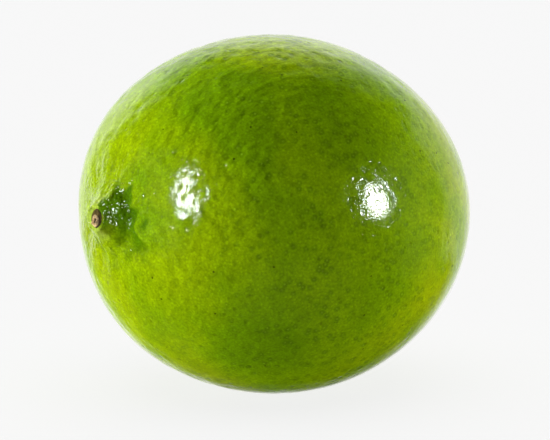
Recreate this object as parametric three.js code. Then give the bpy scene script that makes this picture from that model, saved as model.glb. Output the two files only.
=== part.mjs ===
// A whole Persian lime lying on its side, in millimetres, +Z up.
// The stem end points along -X and a little upwards, and the blossom end along +X.
// The origin is on the small flat spot that the fruit rests on, below its middle.
import * as THREE from 'three';
import { mergeVertices } from 'three/addons/utils/BufferGeometryUtils.js';

const DEGREE = Math.PI / 180;

// The body, an egg-like shape about the stem axis.
const halfLength = 30.9;
const bodyRadius = 27.5;
const stemFullness = -0.004;
const blossomFullness = -0.014;

// How the fruit lies: its middle stands this high, and the stem end is tilted up.
const centreHeight = 26.88;
const stemTilt = 4.5 * DEGREE;

// The low cone around the stem.
const neckHeight = 3.6;
const neckRadius = 5.8;
const neckCurve = 1.3;

// The round seat at the top of the neck, which holds the woody stem button.
const seatRadius = 1.8;
const seatRimRadius = 2;
const seatDepth = 0.9;

// Shallow furrows that run out from the stem over the neck's foot and the shoulder.
const furrowCount = 9;
const furrowDepth = 0.24;
const furrowMiddle = 14 * DEGREE;
const furrowSpread = 9 * DEGREE;

// The nipple at the blossom end, with the small scar of the style on its tip.
const nippleHeight = 1.4;
const nippleSpread = 8 * DEGREE;
const styleScarRadius = 1.1;
const styleScarDepth = 0.3;

// Broad swellings and one flatter cheek make the fruit a little uneven, as a grown one is.
// fromStem is the angle from the stem axis, and around is measured from the top towards -Y.
const swellings = [
  { share: 0.042, fromStem: 43 * DEGREE, around: -46 * DEGREE, spread: 35 * DEGREE },
  { share: 0.037, fromStem: 63 * DEGREE, around: 219 * DEGREE, spread: 30 * DEGREE },
  { share: -0.015, fromStem: 108 * DEGREE, around: 17 * DEGREE, spread: 30 * DEGREE },
];

// The woody button left by the fruit's stalk: a low disc with a broken ring off its middle.
const buttonGap = 0.3;
const buttonRadius = seatRadius - buttonGap;
const buttonEdgeHeight = 0.4;
const buttonTopRadius = 1.38;
const buttonTopHeight = 0.6;
const ringRadius = 0.86;
const ringCrestOuter = 0.76;
const ringCrestInner = 0.5;
const ringHeight = 1;
const ringHoleRadius = 0.38;
const ringHoleFloor = 0.45;
const ringOffset = 0.5;

// How finely the surfaces are divided.
const columnsAround = 80;
const buttonColumns = 28;
const seatRows = 2;
const neckRows = 6;
const bodyRows = 33;
const nippleRows = 6;
const nippleStart = 158 * DEGREE;

// Angle on the unit sphere between two directions given by fromStem and around.
function angleBetween(fromStem, around, other) {
  const along = Math.cos(fromStem) * Math.cos(other.fromStem);
  const across = Math.sin(fromStem) * Math.sin(other.fromStem) * Math.cos(around - other.around);
  return Math.acos(THREE.MathUtils.clamp(along + across, -1, 1));
}

function bell(distance, spread) {
  return Math.exp(-((distance / spread) ** 2));
}

// Share by which the body stands out from a plain ellipsoid.
function fullness(fromStem, around) {
  const half = fromStem < Math.PI / 2 ? stemFullness : blossomFullness;
  let share = 1 + half * Math.sin(2 * fromStem) ** 2;
  for (const swelling of swellings) {
    share += swelling.share * bell(angleBetween(fromStem, around, swelling), swelling.spread);
  }
  return share;
}

function furrow(fromStem, around) {
  const wave = 0.5 + 0.5 * Math.cos(furrowCount * around);
  return furrowDepth * wave * bell(fromStem - furrowMiddle, furrowSpread);
}

function neckRise(distance) {
  return neckHeight * Math.max(1 - distance / neckRadius, 0) ** neckCurve;
}

function nippleRise(fromStem) {
  const distance = bodyRadius * Math.sin(fromStem);
  const scar = styleScarDepth * bell(distance, styleScarRadius);
  return nippleHeight * bell(Math.PI - fromStem, nippleSpread) - scar;
}

// Distance from the middle of the fruit to the floor of the stem seat, along the stem axis.
function seatFloor() {
  const rimAngle = Math.asin(seatRimRadius / bodyRadius);
  return halfLength * Math.cos(rimAngle) * fullness(0, 0) + neckRise(seatRimRadius) - seatDepth;
}

// A point of the peel about the fruit's own middle, with the stem axis along -X.
function peelPoint(fromStem, around) {
  const share = fullness(fromStem, around) - furrow(fromStem, around) / bodyRadius;
  const radius = bodyRadius * Math.sin(fromStem) * share;
  let along = -halfLength * Math.cos(fromStem) * share;
  if (fromStem < Math.PI / 2) {
    along -= neckRise(bodyRadius * Math.sin(fromStem));
  } else {
    along += nippleRise(fromStem);
  }
  return new THREE.Vector3(along, -radius * Math.sin(around), radius * Math.cos(around));
}

function seatPoint(distance, around) {
  return new THREE.Vector3(-seatFloor(), -distance * Math.sin(around), distance * Math.cos(around));
}

// Where the fruit's own frame stands in the part's frame.
function lieDown(point) {
  point.applyAxisAngle(new THREE.Vector3(0, 1, 0), stemTilt);
  point.z += centreHeight;
  return point;
}

// The weight presses the peel flat where it meets the surface that it lies on.
function pressFlat(point) {
  point.z = Math.max(point.z, 0);
  return point;
}

// Builds one closed surface from rows of points, with a single point at each end. The points
// of a row run anticlockwise as seen from the last row's end.
function closedSurface(rows, columns) {
  const first = rows[0][0];
  const last = rows[rows.length - 1][0];
  const rings = rows.slice(1, -1);
  const corners = [first, ...rings.flat(), last];
  const lastIndex = corners.length - 1;
  const at = (row, column) => 1 + row * columns + (column % columns);
  const triangles = [];
  for (let column = 0; column < columns; column += 1) {
    triangles.push(0, at(0, column + 1), at(0, column));
    for (let row = 0; row < rings.length - 1; row += 1) {
      triangles.push(at(row, column), at(row + 1, column + 1), at(row + 1, column));
      triangles.push(at(row, column), at(row, column + 1), at(row + 1, column + 1));
    }
    triangles.push(at(rings.length - 1, column), at(rings.length - 1, column + 1), lastIndex);
  }
  const geometry = new THREE.BufferGeometry().setFromPoints(corners);
  geometry.setIndex(triangles);
  const merged = mergeVertices(geometry);
  merged.computeVertexNormals();
  return merged;
}

function ringOfPoints(columns, pointAt) {
  const points = [];
  for (let column = 0; column < columns; column += 1) {
    points.push(pointAt((column / columns) * 2 * Math.PI));
  }
  return points;
}

function peelRing(fromStem) {
  return ringOfPoints(columnsAround, (around) => pressFlat(lieDown(peelPoint(fromStem, around))));
}

function fruitGeometry() {
  const rows = [[lieDown(seatPoint(0, 0))]];
  for (let row = 1; row <= seatRows; row += 1) {
    const distance = (seatRadius * row) / seatRows;
    rows.push(ringOfPoints(columnsAround, (around) => lieDown(seatPoint(distance, around))));
  }
  for (let row = 0; row <= neckRows; row += 1) {
    const distance = THREE.MathUtils.lerp(seatRimRadius, neckRadius, row / neckRows);
    rows.push(peelRing(Math.asin(distance / bodyRadius)));
  }
  const neckFoot = Math.asin(neckRadius / bodyRadius);
  for (let row = 1; row <= bodyRows; row += 1) {
    rows.push(peelRing(THREE.MathUtils.lerp(neckFoot, nippleStart, row / bodyRows)));
  }
  for (let row = 1; row < nippleRows; row += 1) {
    rows.push(peelRing(THREE.MathUtils.lerp(nippleStart, Math.PI, row / nippleRows)));
  }
  rows.push([lieDown(peelPoint(Math.PI, 0))]);
  return closedSurface(rows, columnsAround);
}

// Each step of the button's outline: its radius, its height and how far its middle is shifted.
function buttonOutline() {
  return [
    { radius: buttonRadius, height: 0, shift: 0 },
    { radius: buttonRadius, height: buttonEdgeHeight, shift: 0 },
    { radius: buttonTopRadius, height: buttonTopHeight, shift: 0 },
    { radius: ringRadius, height: buttonTopHeight, shift: ringOffset },
    { radius: ringCrestOuter, height: ringHeight, shift: ringOffset },
    { radius: ringCrestInner, height: ringHeight, shift: ringOffset },
    { radius: ringHoleRadius, height: ringHoleFloor, shift: ringOffset },
  ];
}

// The button in its own frame: its axis is +Z, and the ring is shifted along -X.
function buttonGeometry() {
  const rows = [[new THREE.Vector3(0, 0, 0)]];
  for (const step of buttonOutline()) {
    const place = (angle) => new THREE.Vector3(
      step.radius * Math.cos(angle) - step.shift,
      step.radius * Math.sin(angle),
      step.height,
    );
    rows.push(ringOfPoints(buttonColumns, place));
  }
  rows.push([new THREE.Vector3(-ringOffset, 0, ringHoleFloor)]);
  return closedSurface(rows, buttonColumns);
}

function fruit() {
  const waxyPeel = new THREE.MeshStandardMaterial({ color: 0x74a00a, roughness: 0.35, metalness: 0 });
  const mesh = new THREE.Mesh(fruitGeometry(), waxyPeel);
  mesh.name = 'fruit';
  return mesh;
}

function stemButton() {
  const dryWood = new THREE.MeshStandardMaterial({ color: 0xa9825a, roughness: 0.85, metalness: 0 });
  const mesh = new THREE.Mesh(buttonGeometry(), dryWood);
  mesh.name = 'stem_button';
  mesh.position.set(-seatFloor() - buttonGap, 0, 0);
  mesh.rotation.y = -Math.PI / 2;
  return mesh;
}

// The stem end's group shares the fruit's tilt, so the button sits square in its seat.
function stemEnd() {
  const group = new THREE.Group();
  group.position.z = centreHeight;
  group.rotation.y = stemTilt;
  group.add(stemButton());
  return group;
}

const lime = new THREE.Group();
lime.add(fruit(), stemEnd());

export default lime;
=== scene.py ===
import math

import bpy
import numpy as np
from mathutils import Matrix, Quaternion, Vector


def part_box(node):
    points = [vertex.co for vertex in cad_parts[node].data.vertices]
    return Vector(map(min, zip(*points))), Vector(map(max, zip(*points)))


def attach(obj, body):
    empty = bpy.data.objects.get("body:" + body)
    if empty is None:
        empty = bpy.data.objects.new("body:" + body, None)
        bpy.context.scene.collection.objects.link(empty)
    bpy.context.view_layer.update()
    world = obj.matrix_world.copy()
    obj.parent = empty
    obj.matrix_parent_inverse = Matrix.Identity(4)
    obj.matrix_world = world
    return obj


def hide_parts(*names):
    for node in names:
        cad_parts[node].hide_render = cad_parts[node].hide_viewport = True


bl_info = {
    "name": "Lime",
    "version": (1, 0, 0),
    "blender": (4, 5, 0),
    "location": "3D View > Sidebar > Lime",
    "description": "Builds a whole lime with a glossy pitted peel around its packed solids",
    "category": "Add Mesh",
}

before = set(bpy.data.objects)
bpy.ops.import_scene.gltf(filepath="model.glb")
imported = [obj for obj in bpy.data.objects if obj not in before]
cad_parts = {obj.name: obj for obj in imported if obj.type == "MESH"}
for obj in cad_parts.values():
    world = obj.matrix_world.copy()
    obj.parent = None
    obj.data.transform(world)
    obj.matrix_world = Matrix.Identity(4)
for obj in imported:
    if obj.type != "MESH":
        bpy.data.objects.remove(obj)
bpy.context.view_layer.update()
BUTTON_LOW, BUTTON_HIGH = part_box("stem_button")

MM = 0.001
DEGREE = math.radians(1)


# ---------------------------------------------------------------- what a user would change


class LimeSizes(bpy.types.PropertyGroup):
    """The lime's driving dimensions."""

    half_length: bpy.props.FloatProperty(
        name="Half length", description="From the middle to the shoulder at either end",
        default=30.9 * MM, unit="LENGTH")
    body_radius: bpy.props.FloatProperty(
        name="Body radius", description="Half the diameter at the middle",
        default=27.5 * MM, unit="LENGTH")
    centre_height: bpy.props.FloatProperty(
        name="Centre height", description="How high the middle stands above the surface",
        default=26.88 * MM, unit="LENGTH")
    stem_tilt: bpy.props.FloatProperty(
        name="Stem tilt", description="How far the stem end is tilted up",
        default=4.5 * DEGREE, subtype="ANGLE")
    neck_height: bpy.props.FloatProperty(
        name="Neck height", description="Height of the cone around the stem, to its tip",
        default=3.6 * MM, unit="LENGTH")
    neck_radius: bpy.props.FloatProperty(
        name="Neck radius", description="Radius of the foot of the cone around the stem",
        default=5.8 * MM, unit="LENGTH")
    seat_radius: bpy.props.FloatProperty(
        name="Seat radius", description="Radius of the round seat of the stem button",
        default=1.8 * MM, unit="LENGTH")
    seat_depth: bpy.props.FloatProperty(
        name="Seat depth", description="Depth of the round seat of the stem button",
        default=0.9 * MM, unit="LENGTH")
    nipple_height: bpy.props.FloatProperty(
        name="Nipple height", description="Height of the nipple at the blossom end",
        default=1.4 * MM, unit="LENGTH")
    dent_depth: bpy.props.FloatProperty(
        name="Dent depth", description="Depth of the shallow dents all over the peel",
        default=0.05 * MM, unit="LENGTH")
    furrow_depth: bpy.props.FloatProperty(
        name="Furrow depth", description="Depth of the furrows that run out from the stem",
        default=0.24 * MM, unit="LENGTH")
    gland_spacing: bpy.props.FloatProperty(
        name="Gland spacing", description="Typical distance between two oil glands",
        default=1.5 * MM, unit="LENGTH")
    gland_radius: bpy.props.FloatProperty(
        name="Gland radius", description="Radius of one oil gland",
        default=0.45 * MM, unit="LENGTH")
    dimple_spacing: bpy.props.FloatProperty(
        name="Dimple spacing", description="Typical distance between two sunken dimples",
        default=3.4 * MM, unit="LENGTH")
    dimple_radius: bpy.props.FloatProperty(
        name="Dimple radius", description="Radius of one sunken dimple",
        default=0.48 * MM, unit="LENGTH")


class LimeColours(bpy.types.PropertyGroup):
    """The lime's colours, as sRGB hex."""

    deep_peel: bpy.props.StringProperty(
        name="Deep peel", description="Greenest parts of the peel", default="75a003")
    bright_peel: bpy.props.StringProperty(
        name="Bright peel", description="Yellower parts of the peel", default="8bb303")
    shoulder: bpy.props.StringProperty(
        # The flank's deep green is partly greener peel and partly painted shade.
        name="Stem flank", description="Deep green flank of the neck", default="467202")
    gland: bpy.props.StringProperty(
        name="Oil gland", description="Oil seen through the peel", default="4d7602")
    freckle: bpy.props.StringProperty(
        name="Freckle", description="Rare dark specks", default="2c3404")
    # A painted glint on each gland's pore.
    pore_glint: bpy.props.StringProperty(
        name="Gland pore", description="Pale dot in the middle of a gland", default="b4d040")
    # Painted highlights on the neck's wrinkle crests and a painted reflection on the seat's rim.
    pale_highlight: bpy.props.StringProperty(
        name="Neck streak", description="Pale streaks around the stem", default="c0d75e")
    bark: bpy.props.StringProperty(
        name="Calyx bark", description="Dry dark rim of the stem button", default="54451c")
    end_peel: bpy.props.StringProperty(
        name="End peel", description="Yellower peel towards both ends", default="a6b604")
    # Painted light: a paler peel along the top and in the middle of the ground spot.
    painted_light_peel: bpy.props.StringProperty(
        name="Crown peel", description="Paler peel along the top", default="b2d008")
    stain: bpy.props.StringProperty(
        name="Stem stain", description="Brown tint beside the stem button and on the style's scar",
        default="7c6a1c")
    ring: bpy.props.StringProperty(
        name="Stalk ring", description="Broken end of the stalk", default="eccb98")
    # Painted shadow in the groove beside the stalk ring.
    shaded_groove: bpy.props.StringProperty(
        name="Bark crack", description="Dark gap beside the stalk ring", default="180c02")
    pith: bpy.props.StringProperty(
        name="Stalk pith", description="Hollow in the broken stalk", default="3c2002")


class LimeStage(bpy.types.PropertyGroup):
    """Camera, lights and surroundings."""

    view_azimuth: bpy.props.FloatProperty(
        name="View azimuth", description="Camera's turn about the lime, 0 looks along +Y",
        default=-34.9 * DEGREE, subtype="ANGLE")
    view_elevation: bpy.props.FloatProperty(
        name="View elevation", description="Camera's height above the horizon",
        default=10.0 * DEGREE, subtype="ANGLE")
    view_distance: bpy.props.FloatProperty(
        name="View distance", description="From the lime's middle to the camera",
        default=0.6, unit="LENGTH")
    frame_width: bpy.props.FloatProperty(
        name="Frame width", description="Width of the view at the lime's middle",
        default=84.15 * MM, unit="LENGTH")
    aim_right: bpy.props.FloatProperty(
        name="Aim right", description="How far the view's middle lies to the right of the lime's",
        default=-0.5 * MM, unit="LENGTH")
    aim_up: bpy.props.FloatProperty(
        name="Aim up", description="How far the view's middle lies above the lime's",
        default=-1.0 * MM, unit="LENGTH")


# ---------------------------------------------------------------- small helpers


def srgb(code):
    """Turns an sRGB hex colour to the linear colour that shaders use."""
    channels = [int(code[at:at + 2], 16) / 255 for at in (0, 2, 4)]
    linear = [c / 12.92 if c <= 0.04045 else ((c + 0.055) / 1.055) ** 2.4 for c in channels]
    return (*linear, 1.0)


def bell(distance, spread):
    """1 at no distance, falling smoothly to almost 0 at twice the spread."""
    return np.exp(-((distance / spread) ** 2))


def ramp_between(value, low, high):
    """0 below low, 1 above high, with a smooth step between."""
    share = np.clip((value - low) / (high - low), 0, 1)
    return share * share * (3 - 2 * share)


def add_node(tree, kind, inputs=None, **settings):
    """Adds a node, sets its own settings, and fills its sockets with values or with links. A node
    given for a socket is linked from its first output that is in use."""
    node = tree.nodes.new(kind)
    for name, value in settings.items():
        setattr(node, name, value)
    for name, value in (inputs or {}).items():
        if isinstance(value, bpy.types.Node):
            value = next(output for output in value.outputs if output.enabled)
        if isinstance(value, bpy.types.NodeSocket):
            tree.links.new(value, node.inputs[name])
        else:
            node.inputs[name].default_value = value
    return node


def mesh_object(name, points, faces, material):
    """Makes a smooth-shaded object from points in metres."""
    mesh = bpy.data.meshes.new(name)
    mesh.from_pydata([tuple(point) for point in points], [], faces)
    mesh.update()
    mesh.shade_smooth()
    mesh.materials.append(material)
    made = bpy.data.objects.new(name, mesh)
    bpy.context.scene.collection.objects.link(made)
    return made


def paint_masks(piece, name, shares):
    """Stores four shares a vertex on the mesh, for its material to read."""
    colours = np.zeros((len(shares), 4), np.float32)
    colours[:, :shares.shape[1]] = shares
    layer = piece.data.color_attributes.new(name, "FLOAT_COLOR", "POINT")
    layer.data.foreach_set("color", colours.ravel())


def closed_faces(rows, columns):
    """Faces of a closed surface: a single point, rows of points, and a single point."""
    last = 1 + rows * columns
    faces = []
    for column in range(columns):
        after = (column + 1) % columns
        faces.append((0, 1 + after, 1 + column))
        for row in range(rows - 1):
            start = 1 + row * columns
            below = start + columns
            faces.append((start + column, start + after, below + after, below + column))
        end = 1 + (rows - 1) * columns
        faces.append((end + column, end + after, last))
    return faces


# The waves of a random field are this much shorter or longer than its stated wavelength.
SHORTEST_WAVE, LONGEST_WAVE = 0.75, 1.35


def rolling(points, wavelength, seed, waves=40):
    """A smooth random field of unit strength, with about this wavelength in metres."""
    chance = np.random.default_rng(seed)
    directions = chance.normal(size=(waves, 3))
    directions /= np.linalg.norm(directions, axis=1)[:, None]
    lengths = wavelength * chance.uniform(SHORTEST_WAVE, LONGEST_WAVE, waves)
    phases = chance.uniform(0, 2 * math.pi, waves)
    field = np.zeros(points.shape[:-1])
    for direction, length, phase in zip(directions, lengths, phases):
        field += np.sin(points @ direction * (2 * math.pi / length) + phase)
    return field / math.sqrt(waves / 2)


# ---------------------------------------------------------------- the peel's shape

# Angles around the stem axis run from the top towards -Y. A side of the fruit is given as its
# middle around the axis, its half width and its softness. An edge is given as where it begins
# and where it ends.

# Broad swellings and one flatter cheek: share of the radius, angle from the stem, angle around
# the axis, and spread.
SWELLINGS = (
    (0.042, 43 * DEGREE, -46 * DEGREE, 35 * DEGREE),
    (0.037, 63 * DEGREE, 219 * DEGREE, 30 * DEGREE),
    (-0.015, 108 * DEGREE, 17 * DEGREE, 30 * DEGREE),
)
STEM_FULLNESS = -0.004
BLOSSOM_FULLNESS = -0.014

# The neck, and the seat that holds the stem button. The underside of the button's rim is sunk into
# the seat's raised lip, as a calyx grows out of the peel.
NECK_CURVE = 1.3
SEAT_RIM = 0.2 * MM
SEAT_LIP = 0.66 * MM
SEAT_LIP_EDGE = (0.7 * MM, 1.5 * MM)

# The nipple, with the scar of the style on its tip.
NIPPLE_START = 165 * DEGREE
NIPPLE_SPREAD = 8 * DEGREE
STYLE_SCAR_RADIUS = 1.1 * MM
STYLE_SCAR_DEPTH = 0.3 * MM

# The furrows that run out from the stem.
FURROW_COUNT = 9
FURROW_MIDDLE = 14 * DEGREE
FURROW_SPREAD = 9 * DEGREE

# Wrinkles on the neck: how many around the stem, their share, and how far they are turned.
WRINKLES = ((9, 0.35, 0.3), (19, 0.4, 1.9), (31, 0.25, 4.1))
WRINKLE_TWIST = 1.5
WRINKLE_DEPTH = 0.09 * MM
PUCKER_SIZE = 1.3 * MM
PUCKER_EDGE = (-0.6, 1.8)
PUCKER_DEPTH = 0.05 * MM
WRINKLED_EDGE = (11 * DEGREE, 30 * DEGREE)

# The crease by the foot of the neck's flank.
COLLAR_SIDE = (88 * DEGREE, 50 * DEGREE, 35 * DEGREE)
COLLAR_DEPTH = 0.3 * MM
COLLAR_RADIUS = 5.1 * MM
COLLAR_WIDTH = 0.8 * MM

# Dents all over the peel: size, seed, the edge of the field over which they sink in, and share of
# the dent depth. They are shallower on the blossom half, and the top has hollows of its own.
DENTS = ((4.2 * MM, 11, (-0.4, 2.2), 1.3), (2.1 * MM, 12, (0.2, 2.2), 0.9))
DENTED_EDGE = (72 * DEGREE, 95 * DEGREE)
DENTS_LOST = 0.55
TOP_DENT_SIZE = 3.2 * MM
TOP_DENT_EDGE = (-0.8, 2.0)
TOP_DENT_SHARE = 1.5
TOP_SIDE_EDGE = (0.55, 0.9)

# The flank of the neck, painted a deep green that is partly greener peel and partly painted
# shade, ragged at its edges and wider on its lower side.
FLANK_UPPER_EDGE = (10 * DEGREE, 32 * DEGREE)
FLANK_LOWER_EDGE = (80 * DEGREE, 170 * DEGREE)
FLANK_START = (1.5 * MM, 2 * MM)
FLANK_REACH = 5.8 * MM
FLANK_EXTRA = 2 * MM
FLANK_EXTRA_EDGE = (80 * DEGREE, 120 * DEGREE)
FLANK_SOFTNESS = 1.3 * MM
FLANK_RAGGED = 0.09
FLANK_DRIFT = 0.12

# Painted highlights: pale streaks on the wrinkles' crests, broken here and there and fewest on
# the lower side, and a painted reflection on the seat's rim, bare on the flank's side.
STREAK_START = (2 * MM, 3 * MM)
STREAK_END = (4 * MM, 10 * MM)
STREAK_SIDE = (10 * DEGREE, 50 * DEGREE, 60 * DEGREE)
STREAK_LEAST = 0.35
STREAK_GAP_EDGE = (-0.2, 0.9)
STREAK_CREST_EDGE = (0.36, 0.16)
RIM_REFLECTION = 0.9
RIM_REFLECTION_EDGE = (2.3 * MM, 4 * MM)
BARE_SIDE = (88 * DEGREE, 38 * DEGREE, 30 * DEGREE)

# The brown stain beside the button, and how far the neck's rougher skin reaches.
STAIN_SIDE = (105 * DEGREE, 25 * DEGREE, 40 * DEGREE)
STAIN_RADIUS = 2.4 * MM
STAIN_WIDTH = 0.8 * MM
NEAR_STEM_EDGE = (5.5 * MM, 11 * MM)

# The relief fades out at the seat's rim, over this share of the neck, and at the nipple's tip.
SETTLE_SHARE = 0.4
TIP_EDGE = (172 * DEGREE, 179 * DEGREE)

SEAT_ROWS = 14
NECK_ROWS = 56
BODY_ROWS = 206
NIPPLE_ROWS = 16
COLUMNS = 336


def fullness(from_stem, around):
    """Share by which the body stands out from a plain ellipsoid."""
    half = np.where(from_stem < math.pi / 2, STEM_FULLNESS, BLOSSOM_FULLNESS)
    share = 1 + half * np.sin(2 * from_stem) ** 2
    for amount, stem_angle, turn, spread in SWELLINGS:
        along = np.cos(from_stem) * math.cos(stem_angle)
        across = np.sin(from_stem) * math.sin(stem_angle) * np.cos(around - turn)
        share = share + amount * bell(np.arccos(np.clip(along + across, -1, 1)), spread)
    return share


def neck_rise(distance, sizes):
    """How far the neck stands out along the stem axis, at this distance from the axis."""
    reach = np.clip(1 - distance / sizes.neck_radius, 0, 1)
    return sizes.neck_height * reach ** NECK_CURVE


def nipple_rise(from_stem, sizes):
    """How far the nipple stands out along the axis, less the style's scar on its tip."""
    scar = STYLE_SCAR_DEPTH * bell(sizes.body_radius * np.sin(from_stem), STYLE_SCAR_RADIUS)
    return sizes.nipple_height * bell(math.pi - from_stem, NIPPLE_SPREAD) - scar


def seat_floor(sizes):
    """Distance from the middle of the fruit to the floor of the stem seat."""
    rim = sizes.seat_radius + SEAT_RIM
    top = sizes.half_length * math.cos(math.asin(rim / sizes.body_radius))
    return top * float(fullness(0.0, 0.0)) + float(neck_rise(rim, sizes)) - sizes.seat_depth


def furrow(from_stem, around, sizes):
    """Depth of the furrows that run out from the stem over the shoulder."""
    wave = 0.5 + 0.5 * np.cos(FURROW_COUNT * around)
    return sizes.furrow_depth * wave * bell(from_stem - FURROW_MIDDLE, FURROW_SPREAD)


def peel_points(from_stem, around, sizes):
    """Points of the peel about the fruit's own middle, with the stem axis along -X."""
    share = fullness(from_stem, around) - furrow(from_stem, around, sizes) / sizes.body_radius
    distance = sizes.body_radius * np.sin(from_stem)
    along = -sizes.half_length * np.cos(from_stem) * share
    stem_half = from_stem < math.pi / 2
    along = along - np.where(stem_half, neck_rise(distance, sizes), -nipple_rise(from_stem, sizes))
    radius = distance * share
    return np.stack([along, -radius * np.sin(around), radius * np.cos(around)], axis=-1)


def lie_down(points, sizes):
    """Turns and lifts points from the fruit's own frame to the part's frame."""
    turn_cos, turn_sin = math.cos(sizes.stem_tilt), math.sin(sizes.stem_tilt)
    x, y, z = points[..., 0], points[..., 1], points[..., 2]
    height = z * turn_cos - x * turn_sin + sizes.centre_height
    return np.stack([x * turn_cos + z * turn_sin, y, height], axis=-1)


def press_flat(points):
    """The weight presses the peel flat where it meets the surface that it lies on."""
    points[..., 2] = np.maximum(points[..., 2], 0)
    return points


def outward(grid):
    """Unit normals of a grid of points whose columns close on themselves."""
    along = np.gradient(grid, axis=0)
    across = np.roll(grid, -1, axis=1) - np.roll(grid, 1, axis=1)
    normal = np.cross(across, along)
    length = np.linalg.norm(normal, axis=-1, keepdims=True)
    return normal / np.maximum(length, 1e-12)


def around_window(around, middle, half_width, softness):
    """1 within half_width of a direction around the stem axis, falling to 0 over softness."""
    away = np.abs((around - middle + math.pi) % (2 * math.pi) - math.pi)
    return 1 - ramp_between(away, half_width, half_width + softness)


def wrinkles(grid, around):
    """Fine wrinkles that run out from the stem, 0 on a crest and about 1 in a valley."""
    twist = rolling(grid, 5 * MM, seed=21, waves=12) * WRINKLE_TWIST
    field = np.zeros_like(around)
    for count, share, phase in WRINKLES:
        field += share * (0.5 + 0.5 * np.cos(count * around + phase + twist))
    return field


def neck_flank_shade(grid, distance, around):
    """Share of the deep green on the neck's -Y flank: partly greener peel, partly painted shade."""
    ragged = distance * (1 + FLANK_RAGGED * rolling(grid, 2.2 * MM, seed=41, waves=12))
    turn = around + FLANK_DRIFT * rolling(grid, 3 * MM, seed=42, waves=12)
    flank = ramp_between(turn, *FLANK_UPPER_EDGE) * (1 - ramp_between(turn, *FLANK_LOWER_EDGE))
    reach = FLANK_REACH + FLANK_EXTRA * ramp_between(turn, *FLANK_EXTRA_EDGE)
    flank = flank * ramp_between(ragged, *FLANK_START)
    return flank * (1 - ramp_between(ragged - reach, 0, FLANK_SOFTNESS))


def neck_highlights(grid, distance, around):
    """Share of the painted highlights: pale streaks on the neck's wrinkle crests, and a painted
    reflection on the seat's rim.
    """
    reach = ramp_between(distance, *STREAK_START) * (1 - ramp_between(distance, *STREAK_END))
    upper = around_window(around, *STREAK_SIDE)
    reach = reach * (STREAK_LEAST + (1 - STREAK_LEAST) * upper)
    broken = ramp_between(rolling(grid, 3.2 * MM, seed=43), *STREAK_GAP_EDGE)
    pale_highlight = ramp_between(wrinkles(grid, around), *STREAK_CREST_EDGE) * reach * broken
    rim = 1 - ramp_between(distance, *RIM_REFLECTION_EDGE)
    away = 1 - around_window(around, *BARE_SIDE)
    return np.maximum(pale_highlight, RIM_REFLECTION * rim * away)


def neck_masks(grid, from_stem, around, sizes):
    """Four masks by vertex: the neck's flank on the -Y side, where the deep green is partly painted
    shade, nearness to the stem, pale streaks and the seat's pale rim, which are painted highlights
    and a painted reflection, and the brown stain beside the button and on the style's scar."""
    distance = sizes.body_radius * np.sin(from_stem)
    stem_half = from_stem < math.pi / 2
    flank = neck_flank_shade(grid, distance, around) * stem_half
    near = (1 - ramp_between(distance, *NEAR_STEM_EDGE)) * stem_half
    pale_highlight = neck_highlights(grid, distance, around) * stem_half * (1 - flank)
    stain = around_window(around, *STAIN_SIDE) * bell(distance - STAIN_RADIUS, STAIN_WIDTH)
    scar = bell(distance, STYLE_SCAR_RADIUS)
    return np.stack([flank, near, pale_highlight, np.where(stem_half, stain, scar)], axis=-1)


def relief(grid, from_stem, around, sizes):
    """Depth of the dents and wrinkles below the smooth peel, in metres."""
    distance = sizes.body_radius * np.sin(from_stem)
    near_neck = 1 - ramp_between(from_stem, *WRINKLED_EDGE)
    dents = np.zeros_like(around)
    for size, seed, edge, share in DENTS:
        dents += ramp_between(rolling(grid, size, seed), *edge) * share
    dents *= 1 - DENTS_LOST * ramp_between(from_stem, *DENTED_EDGE)
    hollows = ramp_between(rolling(grid, TOP_DENT_SIZE, seed=14), *TOP_DENT_EDGE)
    dents += TOP_DENT_SHARE * hollows * ramp_between(np.cos(around), *TOP_SIDE_EDGE)
    depth = sizes.dent_depth * dents
    depth += WRINKLE_DEPTH * wrinkles(grid, around) * near_neck
    puckers = ramp_between(rolling(grid, PUCKER_SIZE, seed=31), *PUCKER_EDGE)
    depth += PUCKER_DEPTH * puckers * near_neck
    collar = around_window(around, *COLLAR_SIDE)
    depth += COLLAR_DEPTH * collar * bell(distance - COLLAR_RADIUS, COLLAR_WIDTH)
    return depth


def seat_points(turns, sizes):
    """Rows of points of the stem seat, from near its middle out to its wall."""
    steps = np.linspace(0, sizes.seat_radius, SEAT_ROWS)[1:]
    distance, around = np.meshgrid(steps, turns, indexing="ij")
    lip = SEAT_LIP * ramp_between(distance, *SEAT_LIP_EDGE)
    seat = np.stack([
        -seat_floor(sizes) - lip,
        -distance * np.sin(around),
        distance * np.cos(around),
    ], axis=-1)
    return lie_down(seat, sizes)


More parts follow.
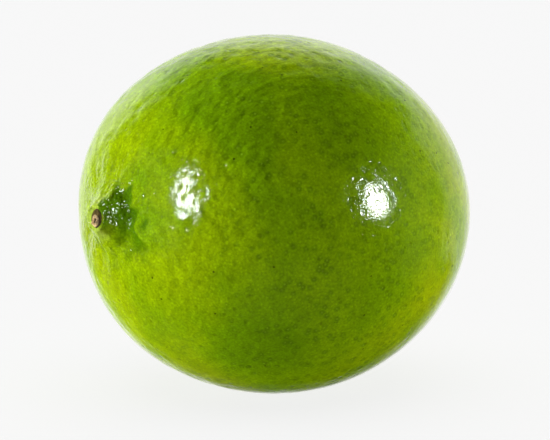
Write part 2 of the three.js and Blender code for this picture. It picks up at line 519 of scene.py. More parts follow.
def fruit_points(sizes):
    """All points of the fruit's closed surface, from the seat's floor to the blossom end, how
    many rows they form, and the four masks of each point."""
    rim = math.asin((sizes.seat_radius + SEAT_RIM) / sizes.body_radius)
    foot = math.asin(sizes.neck_radius / sizes.body_radius)
    angles = np.concatenate([
        np.linspace(rim, foot, NECK_ROWS, endpoint=False),
        np.linspace(foot, NIPPLE_START, BODY_ROWS, endpoint=False),
        np.linspace(NIPPLE_START, math.pi, NIPPLE_ROWS, endpoint=False),
    ])
    turns = np.linspace(0, 2 * math.pi, COLUMNS, endpoint=False)
    from_stem, around = np.meshgrid(angles, turns, indexing="ij")
    grid = lie_down(peel_points(from_stem, around, sizes), sizes)
    settle = ramp_between(from_stem, rim, rim + SETTLE_SHARE * (foot - rim))
    settle = settle * (1 - ramp_between(from_stem, *TIP_EDGE))
    depth = relief(grid, from_stem, around, sizes) * settle
    masks = neck_masks(grid, from_stem, around, sizes)
    grid = press_flat(grid - outward(grid) * depth[..., None])
    seat = seat_points(turns, sizes)
    first = lie_down(np.array([[-seat_floor(sizes), 0.0, 0.0]]), sizes)
    last = lie_down(peel_points(np.array([math.pi]), np.array([0.0]), sizes), sizes)
    rows = np.concatenate([seat, grid]).reshape(-1, 3)
    shares = np.zeros((len(rows) + 2, 4))
    seat_masks = np.repeat(masks[:1], len(seat), axis=0)
    shares[1:-1] = np.concatenate([seat_masks, masks]).reshape(-1, 4)
    return np.concatenate([first, rows, last]), len(seat) + len(grid), shares


# ---------------------------------------------------------------- materials

# Sockets of a Mix node that mixes colours.
SHARE, UNDER, OVER = 0, 6, 7

# Middle of each deeper patch in mm, its reach in mm and its strength, below 0 for a paler one.
# The deeper patches are partly the peel's own mottling and partly painted shade on the upper
# front; the paler ones beside the highlights and along the top are painted light.
DEEP_PATCHES = (
    ((-18, -11.5, 46), 9, 0.6),
    ((-15, -11, 49), 7, 0.5),
    ((-17, -16, 43), 9, 0.8),
    ((-18, -21, 36), 7, 0.3),
    ((-4, -20.5, 45.5), 9, 0.7),
    ((-8, -15, 48.5), 7, 0.5),
    ((-29.5, -7.5, 29.5), 6, 0.6),
    ((-29.5, -4, 35), 4.5, 0.5),
    ((-15, -18, 10), 11, 0.6),
    ((9, 12, 46), 15, 0.6),
    ((-6, 24, 20), 15, 0.7),
    ((32, 1, 24), 10, 0.7),
    ((-21, -19, 28), 9, -0.5),
    ((-13, -22, 38), 6, -0.4),
    ((-4, -8, 53), 10, -0.5),
    ((12, -16, 46), 8, -0.4),
)
PATCH_CORE = 0.25
PATCH_WANDER = 8 * MM

# Direction from the fruit's middle to the low side where the fruit lay on the ground. The
# yellower, paler peel there is partly a ground spot and partly painted rim light.
SPOT_AND_RIM_SIDE = (-0.5, 0.55, -0.67)

# Spots scattered in space show on the peel down to the first of these shares of their spacing, and
# fade out by the second.
SPOT_DEPTHS = (0.3, 0.5)

# Rare dark freckles: the space in which one is looked for, its core and its edge.
FRECKLE_SPACING = 9 * MM
FRECKLE_CORE = 0.1 * MM
FRECKLE_RADIUS = 0.22 * MM

# Heights of the peel's fine relief in mm. Glands and dimples sink in.
GLAND_HEIGHT = -0.018
DIMPLE_HEIGHT = -0.034
PEBBLE_HEIGHT = 0.014
GRAIN_HEIGHT = 0.026
CRUMB_HEIGHT = 0.18

# Less than 1 along X makes the broad hollows of the skin run lengthwise.
HOLLOW_STRETCH = (0.55, 1.0, 1.0)


def new_material(name):
    """A material with an empty node tree."""
    made = bpy.data.materials.new(name)
    made.use_nodes = True
    made.node_tree.nodes.clear()
    return made


def spots_on_peel(tree, place, normal, spacing):
    """Scatters points in space and keeps to those that lie close under the peel. Gives the distance
    along the peel to the nearest one, and a share that is 1 where it lies close under."""
    cells = add_node(tree, "ShaderNodeTexVoronoi", {"Vector": place, "Scale": 1 / spacing},
                     voronoi_dimensions="3D", feature="F1")
    offset = add_node(tree, "ShaderNodeVectorMath", {0: cells.outputs["Position"], 1: place},
                      operation="SUBTRACT")
    depth = add_node(tree, "ShaderNodeVectorMath", {0: offset, 1: normal}, operation="DOT_PRODUCT")
    whole = add_node(tree, "ShaderNodeVectorMath", {0: offset, 1: offset}, operation="DOT_PRODUCT")
    squared = add_node(tree, "ShaderNodeMath", {0: depth, 1: depth}, operation="MULTIPLY")
    flat = add_node(tree, "ShaderNodeMath", {0: whole, 1: squared}, operation="SUBTRACT")
    positive = add_node(tree, "ShaderNodeMath", {0: flat, 1: 0.0}, operation="MAXIMUM")
    across = add_node(tree, "ShaderNodeMath", {0: positive}, operation="SQRT")
    nearness = add_node(tree, "ShaderNodeMath", {0: depth}, operation="ABSOLUTE")
    shown = add_node(tree, "ShaderNodeMapRange", {
        "Value": nearness,
        "From Min": SPOT_DEPTHS[0] * spacing, "From Max": SPOT_DEPTHS[1] * spacing,
        "To Min": 1.0, "To Max": 0.0}, interpolation_type="SMOOTHSTEP")
    return across, shown


def round_mark(tree, across, shown, core, edge):
    """Share of a round mark that is full within its core and fades out at its edge."""
    disc = add_node(tree, "ShaderNodeMapRange", {
        "Value": across, "From Min": core, "From Max": edge, "To Min": 1.0, "To Max": 0.0},
        interpolation_type="SMOOTHSTEP")
    return add_node(tree, "ShaderNodeMath", {0: disc, 1: shown}, operation="MULTIPLY")


def gland_marks(tree, place, normal, along, by_blossom, sizes):
    """Oil glands and their pores, whose pale dot is a painted glint, shown more in some parts of
    the peel than in others, and least at both ends."""
    across, shown = spots_on_peel(tree, place, normal, sizes.gland_spacing)
    drift = add_node(tree, "ShaderNodeTexNoise", {
        "Vector": place, "Scale": 1 / (5 * MM), "Detail": 2.0})
    patchy = add_node(tree, "ShaderNodeMapRange", {
        "Value": drift.outputs["Fac"], "From Min": 0.38, "From Max": 0.62,
        "To Min": 0.4, "To Max": 1.0})
    by_stem = add_node(tree, "ShaderNodeMapRange", {
        "Value": along, "From Min": -26 * MM, "From Max": -15 * MM, "To Min": 0.3, "To Max": 1.0})
    for share in (patchy, by_stem, by_blossom):
        shown = add_node(tree, "ShaderNodeMath", {0: shown, 1: share}, operation="MULTIPLY")
    radius = sizes.gland_radius
    gland = round_mark(tree, across, shown, 0.65 * radius, 1.45 * radius)
    pore = round_mark(tree, across, shown, 0.1 * radius, 0.55 * radius)
    return gland, pore


def dimple_marks(tree, place, normal, by_blossom, sizes):
    """A few larger dimples, left by glands that have sunk in."""
    across, shown = spots_on_peel(tree, place, normal, sizes.dimple_spacing)
    radius = sizes.dimple_radius
    dimple = round_mark(tree, across, shown, 0.2 * radius, radius)
    return add_node(tree, "ShaderNodeMath", {0: dimple, 1: by_blossom}, operation="MULTIPLY")


def deep_patches(tree, place):
    """Share of the deeper green, which lies in broad patches: partly the peel's own mottling and
    partly painted shade, with paler patches of painted light.
    """
    drift = add_node(tree, "ShaderNodeTexNoise", {
        "Vector": place, "Scale": 1 / (9 * MM), "Detail": 2.0})
    centred = add_node(tree, "ShaderNodeVectorMath", {
        0: drift.outputs["Color"], 1: (0.5, 0.5, 0.5)}, operation="SUBTRACT")
    wander = add_node(tree, "ShaderNodeVectorMath", {0: centred, "Scale": PATCH_WANDER},
                      operation="SCALE")
    moved = add_node(tree, "ShaderNodeVectorMath", {0: place, 1: wander}, operation="ADD")
    broad = add_node(tree, "ShaderNodeTexNoise", {
        "Vector": place, "Scale": 1 / (12 * MM), "Detail": 3.0})
    total = add_node(tree, "ShaderNodeMapRange", {
        "Value": broad.outputs["Fac"], "From Min": 0.4, "From Max": 0.66, "To Max": 0.6},
        interpolation_type="SMOOTHSTEP")
    for centre, reach, strength in DEEP_PATCHES:
        apart = add_node(tree, "ShaderNodeVectorMath", {
            0: moved, 1: tuple(c * MM for c in centre)}, operation="DISTANCE")
        share = add_node(tree, "ShaderNodeMapRange", {
            "Value": apart, "From Min": PATCH_CORE * reach * MM, "From Max": reach * MM,
            "To Min": strength, "To Max": 0.0}, interpolation_type="SMOOTHSTEP")
        total = add_node(tree, "ShaderNodeMath", {0: total, 1: share},
                         operation="ADD", use_clamp=True)
    return total


def pigment(tree, place, parts, colours):
    """The peel's broad colours: bright green, yellower towards both ends, yellower where the fruit
    lay on the ground and partly painted rim light there, painted light as a paler peel along the top
    and in the middle of that spot, and deeper in patches, partly painted shade."""
    along, height = parts.outputs[0], parts.outputs[2]
    stem_end = add_node(tree, "ShaderNodeMapRange", {
        "Value": along, "From Min": -28 * MM, "From Max": -15 * MM, "To Min": 0.42, "To Max": 0.0},
        interpolation_type="SMOOTHSTEP")
    slant = add_node(tree, "ShaderNodeMath", {0: height, 1: -0.4, 2: along},
                     operation="MULTIPLY_ADD")
    blossom_end = add_node(tree, "ShaderNodeMapRange", {
        "Value": slant, "From Min": -10 * MM, "From Max": 7 * MM, "To Max": 0.85},
        interpolation_type="SMOOTHSTEP")
    toward_spot_side = add_node(tree, "ShaderNodeVectorMath", {0: place, 1: SPOT_AND_RIM_SIDE},
                        operation="DOT_PRODUCT")
    # A yellow ground spot, partly painted rim light.
    ground_spot_and_rim_light = add_node(tree, "ShaderNodeMapRange", {
        "Value": toward_spot_side, "From Min": -4 * MM, "From Max": 3 * MM, "To Max": 0.65},
        interpolation_type="SMOOTHSTEP")
    # Painted rim light in the middle of the ground spot.
    painted_rim_light = add_node(tree, "ShaderNodeMapRange", {
        "Value": toward_spot_side, "From Min": 2 * MM, "From Max": 6.5 * MM, "To Max": 0.8},
        interpolation_type="SMOOTHSTEP")
    # Painted light along the top.
    painted_top_light = add_node(tree, "ShaderNodeMapRange", {
        "Value": height, "From Min": 49 * MM, "From Max": 53.5 * MM, "To Max": 0.9},
        interpolation_type="SMOOTHSTEP")
    pale = add_node(tree, "ShaderNodeMath", {0: painted_top_light, 1: painted_rim_light}, operation="MAXIMUM")
    ends = add_node(tree, "ShaderNodeMath", {0: stem_end, 1: blossom_end}, operation="ADD")
    yellow = add_node(tree, "ShaderNodeMath", {0: ends, 1: ground_spot_and_rim_light}, operation="MAXIMUM")
    colour = srgb(colours.bright_peel)
    for share, over in (
            (yellow, colours.end_peel),
            (pale, colours.painted_light_peel),
            (deep_patches(tree, place), colours.deep_peel)):
        colour = add_node(tree, "ShaderNodeMix", {SHARE: share, UNDER: colour, OVER: srgb(over)},
                          data_type="RGBA")
    return colour


def skin_tone(tree, place, fine, dimple):
    """Factor on the peel's colour: mottled pigment, tiny pale specks between the glands, and
    shade in the dimples."""
    blotch = add_node(tree, "ShaderNodeTexNoise", {
        "Vector": place, "Scale": 1 / (2.6 * MM), "Detail": 2.0})
    specks = add_node(tree, "ShaderNodeTexVoronoi", {"Vector": place, "Scale": 1 / (0.6 * MM)},
                      feature="F1")
    tone = add_node(tree, "ShaderNodeMapRange", {
        "Value": fine.outputs["Fac"], "From Min": 0.3, "From Max": 0.7,
        "To Min": 0.8, "To Max": 1.2})
    blotch_tone = add_node(tree, "ShaderNodeMapRange", {
        "Value": blotch.outputs["Fac"], "From Min": 0.3, "From Max": 0.7,
        "To Min": 0.92, "To Max": 1.08})
    speck_tone = add_node(tree, "ShaderNodeMapRange", {
        "Value": specks.outputs["Distance"], "From Min": 0.1, "From Max": 0.45,
        "To Min": 1.2, "To Max": 0.97}, interpolation_type="SMOOTHSTEP")
    dimple_tone = add_node(tree, "ShaderNodeMapRange", {
        "Value": dimple, "To Min": 1.0, "To Max": 0.78})
    for factor in (blotch_tone, speck_tone, dimple_tone):
        tone = add_node(tree, "ShaderNodeMath", {0: tone, 1: factor}, operation="MULTIPLY")
    return tone


def peel_bumps(tree, place, parts, near, gland, dimple):
    """Two bumps: the wax follows the glands, the dimples and the fine pebbles, and the skin under
    it also has broader hollows, which the wax fills. The hollows are deepest on the upper stem
    half."""
    along, up = parts.outputs[0], parts.outputs[2]
    pebbles = add_node(tree, "ShaderNodeTexNoise", {
        "Vector": place, "Scale": 1 / (0.8 * MM), "Detail": 1.0})
    grain = add_node(tree, "ShaderNodeTexNoise", {
        "Vector": place, "Scale": 1 / (0.28 * MM), "Detail": 2.0})
    crumb = add_node(tree, "ShaderNodeTexNoise", {
        "Vector": place, "Scale": 1 / (0.42 * MM), "Detail": 0.5})
    crumb = add_node(tree, "ShaderNodeMath", {0: crumb.outputs["Fac"], 1: near},
                     operation="MULTIPLY")
    height = 0.0
    for part, size in (
            (gland, GLAND_HEIGHT),
            (dimple, DIMPLE_HEIGHT),
            (pebbles.outputs["Fac"], PEBBLE_HEIGHT),
            (grain.outputs["Fac"], GRAIN_HEIGHT),
            (crumb, CRUMB_HEIGHT)):
        height = add_node(tree, "ShaderNodeMath", {0: part, 1: size, 2: height},
                          operation="MULTIPLY_ADD")
    wax_bump = add_node(tree, "ShaderNodeBump", {"Height": height, "Distance": MM})
    lengthwise = add_node(tree, "ShaderNodeVectorMath", {0: place, 1: HOLLOW_STRETCH},
                          operation="MULTIPLY")
    hollows = add_node(tree, "ShaderNodeTexNoise", {
        "Vector": lengthwise, "Scale": 1 / (1.7 * MM), "Detail": 1.5})
    slant = add_node(tree, "ShaderNodeMath", {0: up, 1: -0.9, 2: along}, operation="MULTIPLY_ADD")
    depth = add_node(tree, "ShaderNodeMapRange", {
        "Value": slant, "From Min": -54 * MM, "From Max": -30 * MM,
        "To Min": 0.62, "To Max": 0.12}, interpolation_type="SMOOTHSTEP")
    height = add_node(tree, "ShaderNodeMath", {
        0: hollows.outputs["Fac"], 1: depth, 2: height}, operation="MULTIPLY_ADD")
    skin_bump = add_node(tree, "ShaderNodeBump", {"Height": height, "Distance": MM})
    return wax_bump, skin_bump


def waxed_citrus_peel(colours, sizes):
    """Waxed citrus peel, grown and then washed and waxed for sale. Oil glands under the skin
    show as darker dots with a pale pore, a painted glint, and the wax gives it a clear glossy coat."""
    made = new_material("waxed_citrus_peel")
    tree = made.node_tree
    where = add_node(tree, "ShaderNodeTexCoord")
    place, normal = where.outputs["Object"], where.outputs["Normal"]
    parts = add_node(tree, "ShaderNodeSeparateXYZ", {0: place})
    masks = add_node(tree, "ShaderNodeVertexColor", layer_name="neck")
    neck = add_node(tree, "ShaderNodeSeparateColor", {0: masks.outputs["Color"]})
    flank, near, pale_highlight = neck.outputs[0], neck.outputs[1], neck.outputs[2]
    stain = masks.outputs["Alpha"]
    by_blossom = add_node(tree, "ShaderNodeMapRange", {
        "Value": parts.outputs[0], "From Min": 3 * MM, "From Max": 20 * MM,
        "To Min": 1.0, "To Max": 0.45})
    gland, pore = gland_marks(tree, place, normal, parts.outputs[0], by_blossom, sizes)
    dimple = dimple_marks(tree, place, normal, by_blossom, sizes)
    across, shown = spots_on_peel(tree, place, normal, FRECKLE_SPACING)
    freckle = round_mark(tree, across, shown, FRECKLE_CORE, FRECKLE_RADIUS)
    colour = pigment(tree, place, parts, colours)
    for share, strength, over in (
            (gland, 0.52, colours.gland),
            # The pale dot on each pore is a painted glint.
            (pore, 0.3, colours.pore_glint),
            (stain, 0.6, colours.stain),
            # The pale streaks and the seat's pale rim are painted highlights and a painted
            # reflection.
            (pale_highlight, 0.5, colours.pale_highlight),
            # The flank's deep green is partly greener peel and partly painted shade.
            (flank, 0.9, colours.shoulder),
            (freckle, 0.8, colours.freckle)):
        amount = add_node(tree, "ShaderNodeMath", {0: share, 1: strength}, operation="MULTIPLY")
        colour = add_node(tree, "ShaderNodeMix", {SHARE: amount, UNDER: colour, OVER: srgb(over)},
                          data_type="RGBA")
    fine = add_node(tree, "ShaderNodeTexNoise", {
        "Vector": place, "Scale": 1 / (0.34 * MM), "Detail": 2.0})
    tone = skin_tone(tree, place, fine, dimple)
    colour = add_node(tree, "ShaderNodeMix", {SHARE: 1.0, UNDER: colour, OVER: tone},
                      data_type="RGBA", blend_type="MULTIPLY")
    wax_bump, skin_bump = peel_bumps(tree, place, parts, near, gland, dimple)
    rough = add_node(tree, "ShaderNodeMapRange", {
        "Value": fine.outputs["Fac"], "From Min": 0.3, "From Max": 0.7,
        "To Min": 0.36, "To Max": 0.46})
    skin = add_node(tree, "ShaderNodeBsdfPrincipled", {
        "Base Color": colour, "Roughness": rough, "IOR": 1.45, "Specular IOR Level": 0.0,
        "Coat Weight": 1.0, "Coat Roughness": 0.08, "Coat IOR": 1.45,
        "Normal": skin_bump, "Coat Normal": wax_bump})
    add_node(tree, "ShaderNodeOutputMaterial", {"Surface": skin})
    return made


def dry_calyx(colours):
    """Dry calyx wood, left when the fruit was clipped from its stalk. It is dull and fibrous, with
    dark bark around the pale broken end of the stalk."""
    made = new_material("dry_calyx")
    tree = made.node_tree
    where = add_node(tree, "ShaderNodeTexCoord")
    masks = add_node(tree, "ShaderNodeVertexColor", layer_name="stalk")
    stalk = add_node(tree, "ShaderNodeSeparateColor", {0: masks.outputs["Color"]})
    fibre = add_node(tree, "ShaderNodeTexNoise", {
        "Vector": where.outputs["Object"], "Scale": 1 / (0.25 * MM), "Detail": 3.0})
    shade = add_node(tree, "ShaderNodeMapRange", {
        "Value": fibre.outputs["Fac"], "From Min": 0.3, "From Max": 0.7,
        "To Min": 0.5, "To Max": 1.4})
    colour = srgb(colours.bark)
    # The last mask paints shadow into the groove beside the ring.
    for share, over in zip(stalk.outputs, (colours.ring, colours.pith, colours.shaded_groove)):
        colour = add_node(tree, "ShaderNodeMix", {SHARE: share, UNDER: colour, OVER: srgb(over)},
                          data_type="RGBA")
    colour = add_node(tree, "ShaderNodeMix", {SHARE: 1.0, UNDER: colour, OVER: shade},
                      data_type="RGBA", blend_type="MULTIPLY")
    grooves = add_node(tree, "ShaderNodeBump", {
        "Height": fibre.outputs["Fac"], "Distance": 0.08 * MM})
    wood = add_node(tree, "ShaderNodeBsdfPrincipled", {
        "Base Color": colour, "Roughness": 0.85, "Specular IOR Level": 0.2, "Normal": grooves})
    add_node(tree, "ShaderNodeOutputMaterial", {"Surface": wood})
    return made


# ---------------------------------------------------------------- the stem button's shape

BUTTON_ROWS = 40
BUTTON_COLUMNS = 96

# The disc: its height, how its rim drops, how it narrows towards its upper side, and its gap above
# the floor of the seat.
DISC_HEIGHT = 0.5 * MM
DISC_RIPPLES = 7
DISC_RIPPLE_HEIGHT = 0.12 * MM
DISC_RIM = 0.97
DISC_RIM_DROP = 0.75
DISC_WIDTH = 0.88
DISC_PINCH = 0.4
PINCH_END = 1.2
SEAT_GAP = 0.3 * MM

# Notches in the disc's rim: how many, how deep as a share of the radius, and turned by how much.
NOTCHES = ((5, 0.05, 0.8), (11, 0.03, 0.0))

# The stalk's broken ring, which lies off the disc's middle, its teeth and the hollow in it.
RING_RADIUS = 0.64 * MM
RING_WIDTH = 0.18 * MM
RING_HEIGHT = 0.45 * MM
RING_OFFSET = 0.42 * MM
RING_ASIDE = 0.05 * MM
RING_SQUASH = 1.12
RING_TEETH = 3
RING_TEETH_TURN = 0.6
RING_TEETH_SHARE = 0.3
HOLLOW_RADIUS = 0.36 * MM
HOLLOW_DEPTH = 0.35 * MM
HOLLOW_EDGE = (0.12 * MM, 0.3 * MM)

# The pale broken wood on the ring is wider than the ring itself.
PALE_WIDTH = 1.4 * RING_WIDTH
PALE_EDGE = (0.15, 0.6)

# A groove in the bark on one side of the ring, with painted shadow in it.
GROOVE_RADIUS = 1.12 * MM
GROOVE_WIDTH = 0.26 * MM
GROOVE_DEPTH = 0.25 * MM
GROOVE_SIDE_EDGE = (0.3, 0.9)


def button_points():
    """Points of the stem button about the middle of its base, with its axis along +Z, and three
    masks by point: the stalk's ring, its hollow, and the painted shadow in the groove beside it.
    +X is its upper side."""
    radius = (BUTTON_HIGH.y - BUTTON_LOW.y) / 2
    shares = np.linspace(1, 0, BUTTON_ROWS, endpoint=False)
    turns = np.linspace(0, 2 * math.pi, BUTTON_COLUMNS, endpoint=False)
    share, turn = np.meshgrid(shares, turns, indexing="ij")
    ragged = np.ones_like(turn)
    for count, depth, phase in NOTCHES:
        ragged -= depth * (0.5 + 0.5 * np.cos(count * turn + phase))
    x = radius * share * ragged * np.cos(turn)
    pinch = DISC_WIDTH - DISC_PINCH * ramp_between(x, 0, PINCH_END * radius)
    y = radius * share * ragged * np.sin(turn) * pinch
    from_ring = np.hypot(x + RING_OFFSET, (y + RING_ASIDE) * RING_SQUASH)
    about_ring = np.arctan2(y, x + RING_OFFSET)
    teeth = np.cos(RING_TEETH * about_ring + RING_TEETH_TURN)
    broken = 1 - RING_TEETH_SHARE + RING_TEETH_SHARE * teeth
    ring = bell(from_ring - RING_RADIUS, RING_WIDTH)
    beside = ramp_between(np.sin(about_ring), *GROOVE_SIDE_EDGE)
    shaded_groove = bell(from_ring - GROOVE_RADIUS, GROOVE_WIDTH) * beside
    ripples = np.cos(DISC_RIPPLES * turn) * share * (1 - share)
    top = DISC_HEIGHT + DISC_RIPPLE_HEIGHT * ripples
    top += RING_HEIGHT * ring * broken
    top -= HOLLOW_DEPTH * bell(from_ring, HOLLOW_RADIUS)
    top -= GROOVE_DEPTH * shaded_groove
    top = top * np.where(share > DISC_RIM, DISC_RIM_DROP, 1.0)
    upper = np.stack([x, y, top], axis=-1)
    lower = upper[:1].copy()
    lower[..., 2] = 0
    grid = np.concatenate([lower, upper])
    middle = np.array([[0.0, 0.0, float(top[-1].mean())]])
    pale = ramp_between(bell(from_ring - RING_RADIUS, PALE_WIDTH), *PALE_EDGE)
    hollow = ramp_between(RING_RADIUS - from_ring, *HOLLOW_EDGE)
    masks = np.stack([pale, hollow, shaded_groove], axis=-1)
    masks = np.concatenate([masks[:1], masks])
    return grid, middle, masks


def place_button(points, sizes):
    """Mirrors and turns points of the button's own frame to where it sits in its seat. The mirroring
    leaves the button's faces wound inwards."""
    base = seat_floor(sizes) + SEAT_GAP
    turned = np.stack([-points[..., 2] - base, -points[..., 1], points[..., 0]], axis=-1)
    return lie_down(turned, sizes)


# ---------------------------------------------------------------- operators


class LIME_OT_fruit(bpy.types.Operator):
    """Build the whole fruit with its peel, neck, furrows, nipple and resting spot"""

    bl_idname = "lime.fruit"
    bl_label = "Fruit"

    def execute(self, context):
        sizes, colours = context.scene.lime_sizes, context.scene.lime_colours
        points, rows, shares = fruit_points(sizes)
        fruit = mesh_object("lime_fruit", points, closed_faces(rows, COLUMNS),
                            waxed_citrus_peel(colours, sizes))
        paint_masks(fruit, "neck", shares)
        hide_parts("fruit")
        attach(fruit, "root")
        return {"FINISHED"}


class LIME_OT_stem_button(bpy.types.Operator):
    """Build the dry woody button in its seat at the stem end"""

    bl_idname = "lime.stem_button"
    bl_label = "Stem button"

    def execute(self, context):
        sizes, colours = context.scene.lime_sizes, context.scene.lime_colours
        grid, middle, masks = button_points()
        base = np.array([[0.0, 0.0, 0.0]])
        points = place_button(np.concatenate([base, grid.reshape(-1, 3), middle]), sizes)
        button = mesh_object("lime_stem_button", points, closed_faces(len(grid), BUTTON_COLUMNS),
                             dry_calyx(colours))
        shares = np.zeros((len(points), 3))
        shares[1:-1] = masks.reshape(-1, 3)
        paint_masks(button, "stalk", shares)
        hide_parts("stem_button")
        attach(button, "root")
        return {"FINISHED"}


class LIME_OT_stage(bpy.types.Operator):
    """Build the floor, the lights, the surroundings and the camera"""

    bl_idname = "lime.stage"
    bl_label = "Stage"

    def execute(self, context):
        stage, sizes = context.scene.lime_stage, context.scene.lime_sizes
        middle = Vector((0, 0, sizes.centre_height))
        floor = make_floor()
        make_surroundings(context.scene, stage)
        make_lights(stage, middle, floor)
        make_camera(context.scene, stage, middle)
        context.scene.view_settings.view_transform = "Standard"
        return {"FINISHED"}


# ---------------------------------------------------------------- the stage

# Directions are given in degrees as seen from the lime: how far to the right of the camera's
# direction, and how high above the horizon.

# Softboxes show only as highlights on the wax: direction, width and height in metres, power in
# watts, and how far they lean about the line to the lime.
SOFTBOXES = (
    ("left_softbox", (-44.5, 19.5), (0.082, 0.37), 6.1, 8 * DEGREE),
    ("right_softbox", (66.5, 12), (0.13, 0.22), 4.5, 0.0),
    ("right_bounce", (67, 11.5), (0.18, 0.23), 1.9, 0.0),
    ("right_screen", (135, 4), (0.4, 0.72), 0.46, 0.0),
)

# Square panels light the skin under the wax and make no highlights: direction and power.
PANELS = (
    ("left_panel", (-71, 9), 13.1),
    ("right_panel", (108, 1), 13.7),
    ("back_panel", (-157, 47), 5.5),
    ("low_panel", (-138, -38), 7.4),
    ("front_panel", (24, -46), 2.3),
)
PANEL_SIZE = 0.9
LAMP_DISTANCE = 0.9

# The floor's own lamps: one with soft shadows of the lime, and one that nothing shades.
SHADE_LAMP_STRENGTH = 2.7
SHADE_LAMP_SPREAD = 75 * DEGREE
FLOOR_LAMP_STRENGTH = 26.4
FLOOR_REACH = 3.0

SENSOR_WIDTH = 36.0
NEAR_CLIP, FAR_CLIP = 0.01, 20


def heading(stage, turn, elevation):
    """Unit direction from the lime, turned this far to the right of the camera's direction."""
    azimuth = stage.view_azimuth + math.radians(turn)
    rise = math.radians(elevation)
    return Vector((
        math.sin(azimuth) * math.cos(rise),
        -math.cos(azimuth) * math.cos(rise),
        math.sin(rise),
    ))


def make_floor():
    """A grey paper sheet, lit until it shows as plain pale, with a faint soft shadow where the
    lime lies on it."""
    reach = FLOOR_REACH
    corners = [(-reach, -reach, 0), (reach, -reach, 0), (reach, reach, 0), (-reach, reach, 0)]
    paper = new_material("matt_grey_paper")
    tree = paper.node_tree
    where = add_node(tree, "ShaderNodeTexCoord")
    grain = add_node(tree, "ShaderNodeTexNoise", {
        "Vector": where.outputs["Object"], "Scale": 900.0})
    tone = add_node(tree, "ShaderNodeMapRange", {
        "Value": grain.outputs["Fac"], "To Min": 0.0995, "To Max": 0.1005})
    surface = add_node(tree, "ShaderNodeBsdfPrincipled", {
        "Base Color": tone, "Roughness": 0.9, "Specular IOR Level": 0.0})
    add_node(tree, "ShaderNodeOutputMaterial", {"Surface": surface})
    floor = mesh_object("floor", corners, [(0, 1, 2, 3)], paper)
    floor.visible_diffuse = floor.visible_glossy = floor.visible_shadow = False
    return floor


def round_area(tree, away, middle, edge, core, outside, inside):
    """Strength of a soft round area of the surroundings about one direction. It goes from outside
    to inside while the cosine of the angle to that direction goes from edge to core."""
    nearness = add_node(tree, "ShaderNodeVectorMath", {0: away, 1: tuple(middle)},
                        operation="DOT_PRODUCT")
    return add_node(tree, "ShaderNodeMapRange", {
        "Value": nearness, "From Min": edge, "From Max": core,
        "To Min": outside, "To Max": inside}, interpolation_type="SMOOTHSTEP")


def make_surroundings(scene, stage):
    """A dark room with a pale wall behind the lime. The wall is shaded high up, below the lime
    and in one corner, and a skylight and a window add light to it. They are seen only as
    reflections in the wax. The camera itself sees a plain pale backdrop."""
    world = bpy.data.worlds.new("pale_room")
    world.use_nodes = True
    tree = world.node_tree
    tree.nodes.clear()
    where = add_node(tree, "ShaderNodeTexCoord")
    away = where.outputs["Generated"]
    wall = round_area(tree, away, heading(stage, -171, 0),
                      edge=0.64, core=0.9, outside=0.01, inside=1.0)
    below = round_area(tree, away, heading(stage, 178, -48),
                       edge=0.84, core=0.98, outside=1.0, inside=0.1)
    corner = round_area(tree, away, heading(stage, -125, -35),
                        edge=0.8, core=0.93, outside=1.0, inside=0.1)
    skylight = round_area(tree, away, heading(stage, 163, 34),
                          edge=0.91, core=0.985, outside=0.0, inside=0.32)
    window = round_area(tree, away, heading(stage, -142, 28),
                        edge=0.955, core=0.99, outside=0.0, inside=0.6)
    parts = add_node(tree, "ShaderNodeSeparateXYZ", {0: away})
    high = add_node(tree, "ShaderNodeMapRange", {
        "Value": parts.outputs["Z"], "From Min": 0.36, "From Max": 0.82,
        "To Min": 1.0, "To Max": 0.1}, interpolation_type="SMOOTHSTEP")
    strength = wall
    for operation, area in (
            ("MULTIPLY", below),
            ("MULTIPLY", corner),
            ("MULTIPLY", high),
            ("ADD", skylight),
            ("ADD", window)):
        strength = add_node(tree, "ShaderNodeMath", {0: strength, 1: area}, operation=operation)
    room = add_node(tree, "ShaderNodeBackground", {"Color": srgb("ffffff"), "Strength": strength})
    backdrop = add_node(tree, "ShaderNodeBackground", {"Color": srgb("f7f7f7"), "Strength": 1.0})
    path = add_node(tree, "ShaderNodeLightPath")
    seen = add_node(tree, "ShaderNodeMixShader", {
        0: path.outputs["Is Camera Ray"], 1: room, 2: backdrop})
    add_node(tree, "ShaderNodeOutputWorld", {"Surface": seen})
    scene.world = world


def add_overhead_lamp(name, strength, spread):
    """A lamp straight above, as wide as the sky share that it stands for."""
    lamp = bpy.data.lights.new(name, "SUN")
    lamp.energy = strength
    lamp.angle = spread
    overhead = bpy.data.objects.new(name, lamp)
    overhead.location = (0, 0, 1)
    bpy.context.scene.collection.objects.link(overhead)
    return overhead


def add_flat_lamp(name, middle, direction, size, power, lean=0.0):
    """A flat lamp that faces the lime, leaning this far about the line to it."""
    lamp = bpy.data.lights.new(name, "AREA")
    lamp.shape = "RECTANGLE"
    lamp.size, lamp.size_y = size
    lamp.energy = power
    flat = bpy.data.objects.new(name, lamp)
    flat.location = middle + direction * LAMP_DISTANCE
    flat.rotation_mode = "QUATERNION"
    flat.rotation_quaternion = direction.to_track_quat("Z", "Y") @ Quaternion((0, 0, 1), lean)
    flat.visible_camera = False
    bpy.context.scene.collection.objects.link(flat)
    return flat


def only_for(lamps, name, pieces, blockers=None):
    """Keeps some lamps to some pieces, as flags and screens do in a studio. Where blockers are
    given, only they throw shadows."""
    lit = bpy.data.collections.new("lit_" + name)
    for piece in pieces:
        lit.objects.link(piece)
    for lamp in lamps:
        lamp.light_linking.receiver_collection = lit
        if blockers is not None:
            lamp.light_linking.blocker_collection = blockers


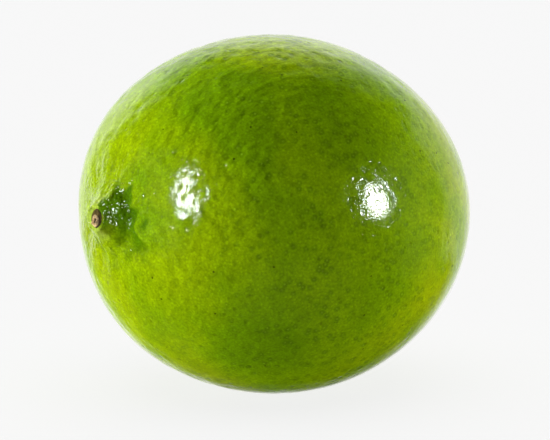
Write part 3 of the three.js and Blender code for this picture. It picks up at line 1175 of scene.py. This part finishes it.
def make_lights(stage, middle, floor):
    """Softboxes for the highlights, panels for the skin, and two lamps for the floor alone."""
    lamps = []
    for name, towards, size, power, lean in SOFTBOXES:
        softbox = add_flat_lamp(name, middle, heading(stage, *towards), size, power, lean)
        softbox.visible_diffuse = False
        lamps.append(softbox)
    for name, towards, power in PANELS:
        size = (PANEL_SIZE, PANEL_SIZE)
        panel = add_flat_lamp(name, middle, heading(stage, *towards), size, power)
        panel.visible_glossy = False
        lamps.append(panel)
    pieces = [bpy.data.objects[name] for name in ("lime_fruit", "lime_stem_button")]
    only_for(lamps, "lime", pieces)
    shade_lamp = add_overhead_lamp("shade_lamp", SHADE_LAMP_STRENGTH, SHADE_LAMP_SPREAD)
    floor_lamp = add_overhead_lamp("floor_lamp", FLOOR_LAMP_STRENGTH, 0.0)
    nothing = bpy.data.collections.new("blocks_nothing")
    nothing.objects.link(floor)
    only_for([shade_lamp], "floor", [floor])
    only_for([floor_lamp], "floor_fill", [floor], nothing)


def make_camera(scene, stage, middle):
    """A camera that looks at the lime from the stage's direction and distance."""
    back = heading(stage, 0, math.degrees(stage.view_elevation))
    right = Vector((math.cos(stage.view_azimuth), math.sin(stage.view_azimuth), 0))
    up = back.cross(right)
    aim = middle + right * stage.aim_right + up * stage.aim_up
    lens = bpy.data.cameras.new("camera")
    lens.sensor_width = SENSOR_WIDTH
    lens.lens = SENSOR_WIDTH * stage.view_distance / stage.frame_width
    lens.clip_start, lens.clip_end = NEAR_CLIP, FAR_CLIP
    camera = bpy.data.objects.new("camera", lens)
    camera.location = aim + back * stage.view_distance
    camera.rotation_mode = "QUATERNION"
    camera.rotation_quaternion = back.to_track_quat("Z", "Y")
    scene.collection.objects.link(camera)
    scene.camera = camera


# ---------------------------------------------------------------- panel and registration


class LIME_PT_panel(bpy.types.Panel):
    """Lists the lime's pieces and its settings"""

    bl_idname = "LIME_PT_panel"
    bl_label = "Lime"
    bl_space_type = "VIEW_3D"
    bl_region_type = "UI"
    bl_category = "Lime"

    def draw(self, context):
        for operator in OPERATORS:
            self.layout.operator(operator.bl_idname)
        scene = context.scene
        for group in (scene.lime_sizes, scene.lime_colours, scene.lime_stage):
            column = self.layout.column()
            for name in group.__annotations__:
                column.prop(group, name)


OPERATORS = (LIME_OT_fruit, LIME_OT_stem_button, LIME_OT_stage)
GROUPS = (LimeSizes, LimeColours, LimeStage)


def register():
    for made in (*GROUPS, *OPERATORS, LIME_PT_panel):
        bpy.utils.register_class(made)
    bpy.types.Scene.lime_sizes = bpy.props.PointerProperty(type=LimeSizes)
    bpy.types.Scene.lime_colours = bpy.props.PointerProperty(type=LimeColours)
    bpy.types.Scene.lime_stage = bpy.props.PointerProperty(type=LimeStage)


def unregister():
    del bpy.types.Scene.lime_stage
    del bpy.types.Scene.lime_colours
    del bpy.types.Scene.lime_sizes
    for made in reversed((*GROUPS, *OPERATORS, LIME_PT_panel)):
        bpy.utils.unregister_class(made)


def main():
    register()
    bpy.ops.lime.fruit()
    bpy.ops.lime.stem_button()
    bpy.ops.lime.stage()


if __name__ == "__main__":
    main()
